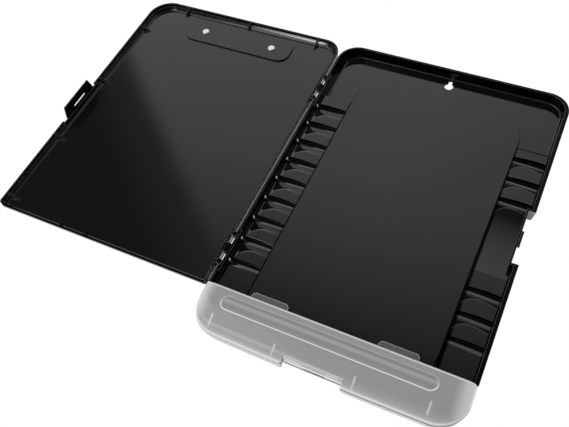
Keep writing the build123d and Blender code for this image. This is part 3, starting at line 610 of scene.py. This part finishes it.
def smooth_group():
    """Smooth shading over shallow edges; sharper edges stay crisp."""
    name = "smooth_shading"
    if name in bpy.data.node_groups:
        return bpy.data.node_groups[name]
    group = bpy.data.node_groups.new(name, "GeometryNodeTree")
    group.interface.new_socket("Geometry", in_out="INPUT", socket_type="NodeSocketGeometry")
    group.interface.new_socket("Geometry", in_out="OUTPUT", socket_type="NodeSocketGeometry")
    start = add_node(group, "NodeGroupInput", (-600, 0))
    faces = add_node(group, "GeometryNodeSetShadeSmooth", (-300, 0), domain="FACE")
    angle = add_node(group, "GeometryNodeInputMeshEdgeAngle", (-600, -300))
    sharp = add_node(group, "FunctionNodeCompare", (-300, -300), data_type="FLOAT",
                     operation="GREATER_THAN")
    sharp.inputs[1].default_value = SHARP_ANGLE
    edges = add_node(group, "GeometryNodeSetShadeSmooth", (0, 0), domain="EDGE")
    edges.inputs["Shade Smooth"].default_value = False
    end = add_node(group, "NodeGroupOutput", (300, 0))
    group.links.new(start.outputs[0], faces.inputs["Geometry"])
    group.links.new(angle.outputs["Unsigned Angle"], sharp.inputs[0])
    group.links.new(faces.outputs["Geometry"], edges.inputs["Geometry"])
    group.links.new(sharp.outputs["Result"], edges.inputs["Selection"])
    group.links.new(edges.outputs["Geometry"], end.inputs[0])
    return group


def shade_smooth(names):
    """Gives some CAD nodes smooth shading; the material rounds their crisp edges."""
    for name in names:
        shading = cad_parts[name].modifiers.new("smooth_shading", "NODES")
        shading.node_group = smooth_group()


class MouldedPlasticOperator(bpy.types.Operator):
    """Finish the black case, lid and lid latch."""

    bl_idname = "clipboard.moulded_plastic"
    bl_label = "Black moulded plastic"

    def execute(self, context):
        settings = context.scene.clipboard_moulded
        black = (*settings.colour, 1)
        material, tree = new_material("black_moulding")
        shader = add_node(tree, "ShaderNodeBsdfPrincipled", (0, 0))
        shader.inputs["IOR"].default_value = 1.5
        place_texture(tree, shader, MOULDED_TEXTURE, settings.roughness, 0.12, settings.edge)
        light_and_shade = use_group(tree, tray_light_and_shade_group(), {})
        edge_light = use_group(tree, edge_highlight_group(), {"Reach": 0.0004})

        # Painted highlights on the rims' edges, brightest beside the hinge
        x, y, z = place_in_mm(tree)[:3]
        high = times(tree, map_range(tree, z, (9.0, 10.0), (0.01, 0.42)),
                     map_range(tree, y, (SEAM_Y + 2.0, SEAM_Y + 1.0), (1.0, 0.2)),
                     blend(tree, window(tree, x, *HINGE_SIDE_X, 0.3), 1.0, 2.0))
        light = largest(tree, light_and_shade.outputs["Light"], times(tree, edge_light.outputs["Edge"], high))
        # Painted light turns the black toward a pale grey
        feed(tree, shader.inputs["Base Color"], tint(tree, light, black, PAINTED_LIGHT_GREY))

        # Painted shade: black metal mirrors nothing, so a crease or a steep wall stays dark
        unlit = fall(tree, light, 0.02, 0.1)
        feed(tree, shader.inputs["Metallic"], times(tree, light_and_shade.outputs["Dark"], unlit))
        finish_material(tree, shader)
        dress(MOULDED_NODES, material)
        shade_smooth(MOULDED_NODES)
        return {"FINISHED"}


class FrostedPlasticOperator(bpy.types.Operator):
    """Finish the translucent compartment, its cover and its latch."""

    bl_idname = "clipboard.frosted_plastic"
    bl_label = "Translucent plastic"

    def execute(self, context):
        settings = context.scene.clipboard_frosted
        material, tree = new_material("smoke_translucent")
        shader = add_node(tree, "ShaderNodeBsdfPrincipled", (0, 0))
        shader.inputs["IOR"].default_value = 1.49
        place_texture(tree, shader, FROSTED_TEXTURE, settings.roughness, 0.08)
        light_and_shade = use_group(tree, cover_light_and_shade_group(), {})
        # Painted highlights along the edges
        edge_light = use_group(tree, edge_highlight_group(), {"Reach": 0.001})
        light = largest(tree, light_and_shade.outputs["Light"], times(tree, edge_light.outputs["Edge"], 0.95))

        # The tongues beyond the seam lie on black and are clearer
        cover = blend(tree, light, settings.opacity, PAINTED_LIGHT_OPACITY)
        tongue = blend(tree, light, *TONGUE_OPACITY)
        feed(tree, shader.inputs["Alpha"], blend(tree, light_and_shade.outputs["Inside"], cover, tongue))
        # Painted light turns the smoke grey milky white; painted shade turns it near black
        milky = tint(tree, light, (*settings.colour, 1), MILKY_PAINTED_LIGHT)
        milky = tint(tree, light_and_shade.outputs["Dark"], milky, MILKY_SHADE)
        feed(tree, shader.inputs["Base Color"], milky)
        finish_material(tree, shader)
        dress(FROSTED_NODES, material)
        shade_smooth(FROSTED_NODES)
        return {"FINISHED"}


class MetalOperator(bpy.types.Operator):
    """Finish the clip's plate and jaw, the rod, pins, springs and rivets."""

    bl_idname = "clipboard.metal"
    bl_label = "Clip and pins"

    def execute(self, context):
        settings = context.scene.clipboard_metal
        for name, colour, gloss, nodes in (
            ("plated_clip", settings.plate, 0.18, PLATED_NODES),
            ("drawn_wire", settings.wire, 0.34, WIRE_NODES),
        ):
            material, tree = new_material(name)
            shader = add_node(tree, "ShaderNodeBsdfPrincipled", (0, 0))
            shader.inputs["Base Color"].default_value = (*colour, 1)
            shader.inputs["Metallic"].default_value = 0.8
            place_texture(tree, shader, METAL_TEXTURE, gloss, 0.1)
            finish_material(tree, shader)
            dress(nodes, material)
        return {"FINISHED"}


class StageOperator(bpy.types.Operator):
    """White floor, even light and the camera at the photograph's angle."""

    bl_idname = "clipboard.stage"
    bl_label = "Stage and camera"

    def execute(self, context):
        settings = context.scene.clipboard_stage
        self.make_floor(context, settings)
        self.make_world(context, settings)
        self.make_lamps(context, settings)
        self.make_camera(context)
        context.scene.view_settings.view_transform = "Standard"
        return {"FINISHED"}

    def make_floor(self, context, settings):
        """A white floor that still takes the object's shadow."""
        mesh = bpy.data.meshes.new("floor")
        corners = [(-1, -1), (1, -1), (1, 1), (-1, 1)]
        points = [(x * FLOOR_REACH, y * FLOOR_REACH, FLOOR_Z) for x, y in corners]
        mesh.from_pydata(points, [], [(0, 1, 2, 3)])
        floor = bpy.data.objects.new("floor", mesh)
        context.scene.collection.objects.link(floor)
        material, tree = new_material("white_floor")
        shader = add_node(tree, "ShaderNodeBsdfDiffuse", (0, 0))
        shader.inputs["Color"].default_value = (*settings.backdrop, 1)
        glow = add_node(tree, "ShaderNodeEmission", (0, -200))
        glow.inputs["Color"].default_value = (*settings.backdrop, 1)
        glow.inputs["Strength"].default_value = 1.0
        path = add_node(tree, "ShaderNodeLightPath", (-600, 300))
        seen = largest(tree, path.outputs["Is Camera Ray"], path.outputs["Is Glossy Ray"],
                       path.outputs["Is Transmission Ray"])
        mix = add_node(tree, "ShaderNodeMixShader", (200, 0))
        tree.links.new(seen, mix.inputs["Fac"])
        tree.links.new(shader.outputs[0], mix.inputs[1])
        tree.links.new(glow.outputs[0], mix.inputs[2])
        finish_material(tree, mix)
        mesh.materials.append(material)

    def make_world(self, context, settings):
        """Even light on matt surfaces; a dark and a bright half of the studio in glossy ones."""
        world = bpy.data.worlds.new("studio")
        context.scene.world = world
        world.use_nodes = True
        tree = world.node_tree
        tree.nodes.clear()
        seen = add_node(tree, "ShaderNodeBackground", (-300, 100))
        tree.links.new(self.mirrored_level(tree, settings), seen.inputs["Color"])
        seen.inputs["Strength"].default_value = SKY_TOP
        plain = add_node(tree, "ShaderNodeBackground", (-300, -100))
        plain.inputs["Color"].default_value = (1, 1, 1, 1)
        plain.inputs["Strength"].default_value = settings.sky
        path = add_node(tree, "ShaderNodeLightPath", (-700, 400))
        mix = add_node(tree, "ShaderNodeMixShader", (0, 0))
        tree.links.new(path.outputs["Is Glossy Ray"], mix.inputs["Fac"])
        tree.links.new(plain.outputs[0], mix.inputs[1])
        tree.links.new(seen.outputs[0], mix.inputs[2])
        end = add_node(tree, "ShaderNodeOutputWorld", (300, 0))
        tree.links.new(mix.outputs[0], end.inputs["Surface"])

    def mirrored_level(self, tree, settings):
        """How bright the studio is in each mirrored direction, as a share of its top level."""
        where = add_node(tree, "ShaderNodeTexCoord", (-2300, 0))
        parts = add_node(tree, "ShaderNodeSeparateXYZ", (-2100, 0))
        tree.links.new(where.outputs["Generated"], parts.inputs[0])
        height = largest(tree, parts.outputs["Z"], SKY_LOWEST)
        across = maths(tree, "DIVIDE", parts.outputs["X"], height)
        away = maths(tree, "DIVIDE", parts.outputs["Y"], height)
        slant = maths(tree, "MULTIPLY_ADD", across, HALVES_LEAN, away)
        dark = [
            map_range(tree, slant, span, (first / SKY_TOP, second / SKY_TOP))
            for span, (first, second) in (DARK_HALF, DARK_HALF_LOW)
        ]
        bright = times(tree, self.rising_level(tree, away),
                       map_range(tree, across, *BRIGHT_HALF_ACROSS))
        edge = rise(tree, slant, 0.0, HALVES_EDGE, smooth=True)
        level = blend(tree, edge, largest(tree, *dark), bright)
        low = fall(tree, parts.outputs["Z"], 0.0, HORIZON_HEIGHT, smooth=True)
        level = blend(tree, low, level, HORIZON_LEVEL / SKY_TOP)
        lamp = times(tree, rise(tree, across, *STRIP_ACROSS[:2]),
                     fall(tree, across, *STRIP_ACROSS[2:]), rise(tree, away, *STRIP_AWAY[:2]),
                     fall(tree, away, *STRIP_AWAY[2:]), settings.strip / SKY_TOP)
        return largest(tree, level, lamp)

    def rising_level(self, tree, away):
        """The bright half's level, rising with the slope away."""
        ramp = add_node(tree, "ShaderNodeValToRGB", (-1300, 300))
        stops = ramp.color_ramp
        stops.elements[0].position = 0.0
        stops.elements[0].color = (*[SKY_RISE[0][1] / SKY_TOP] * 3, 1)
        stops.elements[1].position = 1.0
        stops.elements[1].color = (1, 1, 1, 1)
        for place, level in SKY_RISE:
            stop = stops.elements.new(place / SKY_REACH)
            stop.color = (*[level / SKY_TOP] * 3, 1)
        tree.links.new(maths(tree, "DIVIDE", away, SKY_REACH), ramp.inputs["Fac"])
        return ramp.outputs["Color"]

    def make_lamps(self, context, settings):
        """One large soft lamp from the near left."""
        lamp = bpy.data.lights.new("key", "AREA")
        lamp.shape = "RECTANGLE"
        lamp.size, lamp.size_y = KEY_SIZE
        lamp.energy = settings.key_power
        key = bpy.data.objects.new("key", lamp)
        key.location = KEY_PLACE
        aim = Vector(KEY_AIM) - key.location
        key.rotation_euler = aim.to_track_quat("-Z", "Y").to_euler()
        context.scene.collection.objects.link(key)

    def make_camera(self, context):
        """The camera at the photograph's place, angle and framing."""
        lens = bpy.data.cameras.new("camera")
        camera = bpy.data.objects.new("camera", lens)
        context.scene.collection.objects.link(camera)
        camera.location = CAMERA_PLACE
        camera.rotation_euler = Euler(CAMERA_TURN)
        lens.sensor_fit = "HORIZONTAL"
        lens.sensor_width = 36.0
        lens.lens = CAMERA_LENS
        lens.shift_x, lens.shift_y = CAMERA_SHIFT
        lens.clip_start = 0.01
        context.scene.camera = camera


class ClipboardPanel(bpy.types.Panel):
    """Lists the steps and their settings."""

    bl_idname = "VIEW3D_PT_clipboard"
    bl_label = "Storage clipboard"
    bl_space_type = "VIEW_3D"
    bl_region_type = "UI"
    bl_category = "Clipboard"

    def draw(self, context):
        scene = context.scene
        for operator, settings in (
            (MouldedPlasticOperator, scene.clipboard_moulded),
            (FrostedPlasticOperator, scene.clipboard_frosted),
            (MetalOperator, scene.clipboard_metal),
            (StageOperator, scene.clipboard_stage),
        ):
            box = self.layout.box()
            box.operator(operator.bl_idname)
            for name in settings.bl_rna.properties.keys():
                if name not in ("rna_type", "name"):
                    box.prop(settings, name)


SETTINGS = {
    "clipboard_moulded": MouldedPlasticSettings,
    "clipboard_frosted": FrostedPlasticSettings,
    "clipboard_metal": MetalSettings,
    "clipboard_stage": StageSettings,
}
OPERATORS = (MouldedPlasticOperator, FrostedPlasticOperator, MetalOperator, StageOperator)


def register():
    for name, group in SETTINGS.items():
        bpy.utils.register_class(group)
        setattr(bpy.types.Scene, name, bpy.props.PointerProperty(type=group))
    for operator in OPERATORS:
        bpy.utils.register_class(operator)
    bpy.utils.register_class(ClipboardPanel)


def unregister():
    bpy.utils.unregister_class(ClipboardPanel)
    for operator in reversed(OPERATORS):
        bpy.utils.unregister_class(operator)
    for name, group in reversed(list(SETTINGS.items())):
        delattr(bpy.types.Scene, name)
        bpy.utils.unregister_class(group)


def main():
    register()
    bpy.ops.clipboard.moulded_plastic()
    bpy.ops.clipboard.frosted_plastic()
    bpy.ops.clipboard.metal()
    bpy.ops.clipboard.stage()


if __name__ == "__main__":
    main()
